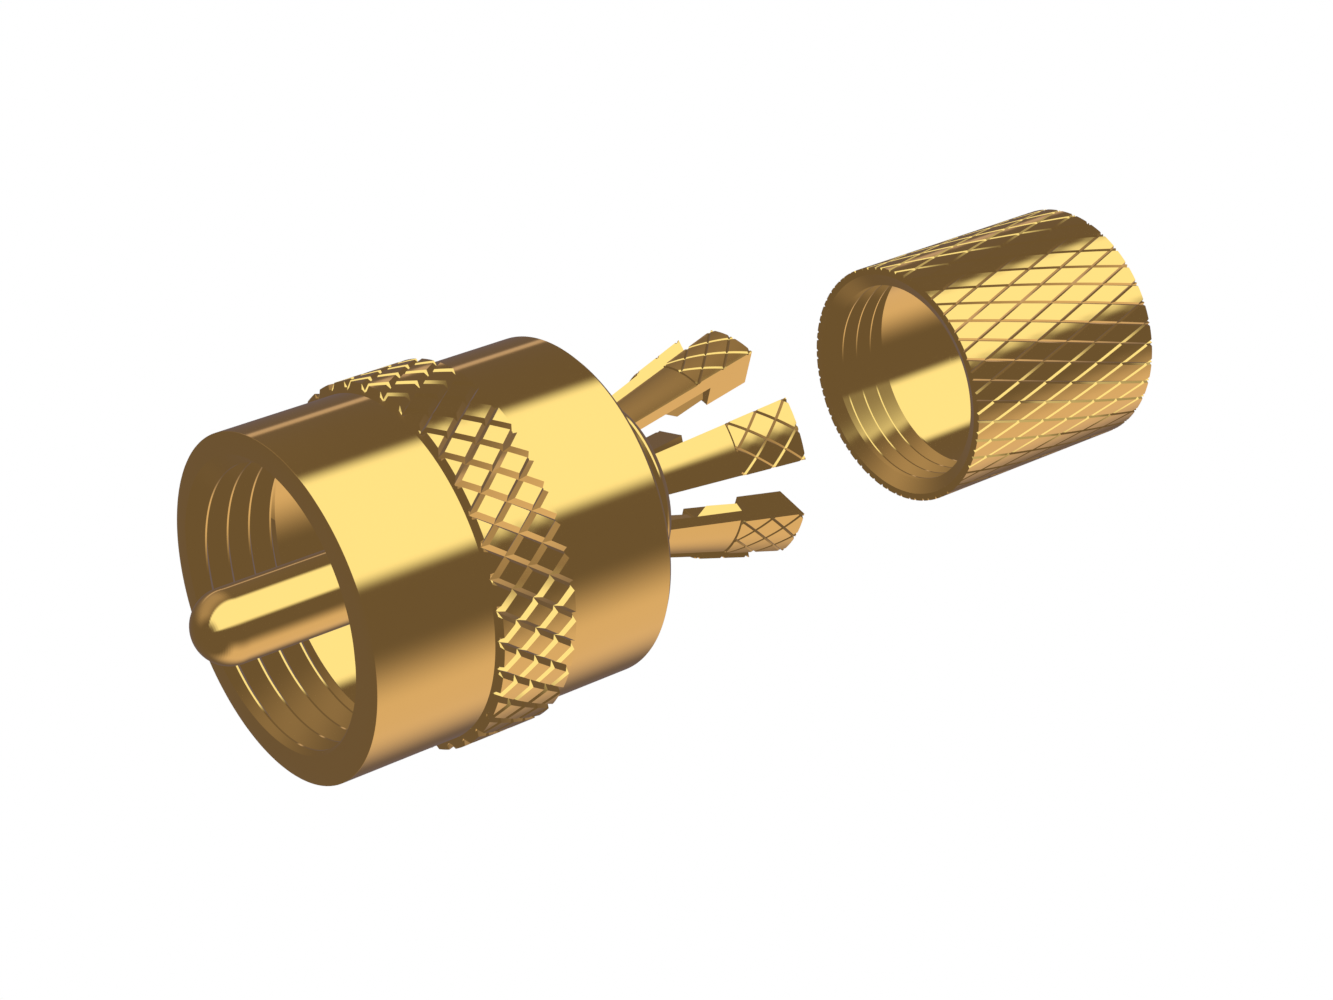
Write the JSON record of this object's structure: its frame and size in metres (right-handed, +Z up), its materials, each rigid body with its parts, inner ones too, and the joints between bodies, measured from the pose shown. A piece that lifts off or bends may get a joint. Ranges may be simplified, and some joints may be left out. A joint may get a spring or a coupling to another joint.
{
  "type": "uhf plug",
  "caption": "Solderless coaxial plug with a knurled coupling nut, a centre pin, six flared clamping fingers and a knurled clamp sleeve standing off behind them.",
  "frame": {"origin": "on the plug's axis at the reference plane, the front face of the shoulder that the socket's rim meets", "axes": "+X along the plug's axis towards the cable, so the centre pin points to -X; +Z up"},
  "size_m": [0.0595, 0.0196, 0.0196],
  "materials": {
    "gold_plate": "polished gold plating",
    "ring_steel": "plated spring wire",
    "insulator": "smooth moulded"
  },
  "bodies": {
    "plug": {"plug_body": "gold_plate", "retaining_ring": "ring_steel", "insulator": "insulator", "center_pin": "gold_plate", "collet": "gold_plate"},
    "nut": {"coupling_nut": "gold_plate"},
    "sleeve": {"clamp_sleeve": "gold_plate"}
  },
  "joints": [
    {"name": "nut_spin", "type": "hinge", "parent": "plug", "child": "nut", "pos_m": [0, 0, 0], "axis": [1, 0, 0], "continuous": true},
    {"name": "sleeve_travel", "type": "slide", "parent": "plug", "child": "sleeve", "axis": [1, 0, 0], "range_m": [-0.0221, 0], "deforming": ["collet"]}
  ]
}
